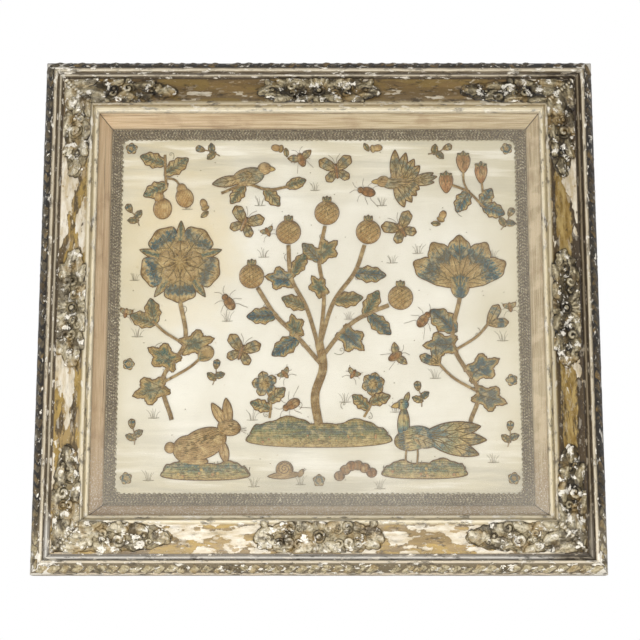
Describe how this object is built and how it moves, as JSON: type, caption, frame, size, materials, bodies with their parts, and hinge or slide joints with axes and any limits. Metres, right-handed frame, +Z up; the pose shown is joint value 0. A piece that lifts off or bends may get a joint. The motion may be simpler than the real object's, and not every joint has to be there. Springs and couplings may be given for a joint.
{
  "type": "framed stumpwork picture",
  "caption": "Raised, padded silk motifs on ivory satin edged with metal braid, behind glass and sloping wood slips in a worn gilt frame with corner and centre ornaments.",
  "frame": {"origin": "on the flat back of the top rail, at the middle of its width and length, where the picture hangs", "axes": "+Z up, +X to the viewer's right along the top rail, +Y into the wall, so the picture faces -Y"},
  "size_m": [0.56, 0.0433, 0.521],
  "materials": {
    "gilt_rail": "worn gilding over chipped gesso and wood, satin",
    "gilt_ornament": "moulded composition with rubbed, darkened gilding",
    "pane": "clear, polished",
    "slip_wood": "bare pale wood, matte",
    "ivory_satin": "silk satin, soft sheen",
    "metal_braid": "tarnished metal thread braid",
    "back_wood": "plain dry board",
    "gold_silk": "faded golden-tan silk stitches",
    "green_silk": "faded blue-green and tan silk stitches",
    "blue_silk": "faded blue silk stitches",
    "brown_silk": "brown silk stitches"
  },
  "bodies": {
    "root": {"backboard": "back_wood", "bee_1": "brown_silk", "bee_2": "brown_silk", "beetle_1": "brown_silk", "beetle_2": "brown_silk", "beetle_3": "brown_silk", "beetle_4": "brown_silk", "braid_bottom": "metal_braid", "braid_left": "metal_braid", "braid_right": "metal_braid", "braid_top": "metal_braid", "butterfly_1": "gold_silk", "butterfly_2": "gold_silk", "butterfly_3": "gold_silk", "butterfly_4": "gold_silk", "carnation_bloom": "gold_silk", "carnation_spray": "green_silk", "cartouche_bottom": "gilt_ornament", "cartouche_left": "gilt_ornament", "cartouche_right": "gilt_ornament", "cartouche_top": "gilt_ornament", "corner_bottom_right": "gilt_ornament", "corner_left_bottom": "gilt_ornament", "corner_right_top": "gilt_ornament", "corner_top_left": "gilt_ornament", "daisy_sprig": "gold_silk", "flying_bird": "gold_silk", "fruit_1": "gold_silk", "fruit_2": "gold_silk", "fruit_3": "gold_silk", "fruit_4": "gold_silk", "fruit_5": "gold_silk", "glass": "pane", "grub": "brown_silk", "hare": "gold_silk", "hare_mound": "green_silk", "pansy_sprig": "gold_silk", "peacock": "blue_silk", "peacock_mound": "green_silk", "pear_sprig": "gold_silk", "perched_bird": "gold_silk", "rail_bottom": "gilt_rail", "rail_left": "gilt_rail", "rail_right": "gilt_rail", "rail_top": "gilt_rail", "rose_bloom": "gold_silk", "rose_spray": "green_silk", "satin_ground": "ivory_satin", "slip_bottom": "slip_wood", "slip_left": "slip_wood", "slip_right": "slip_wood", "slip_top": "slip_wood", "snail": "gold_silk", "strawberry_sprig": "gold_silk", "tree": "green_silk", "tree_mound": "green_silk"}
  },
  "joints": []
}
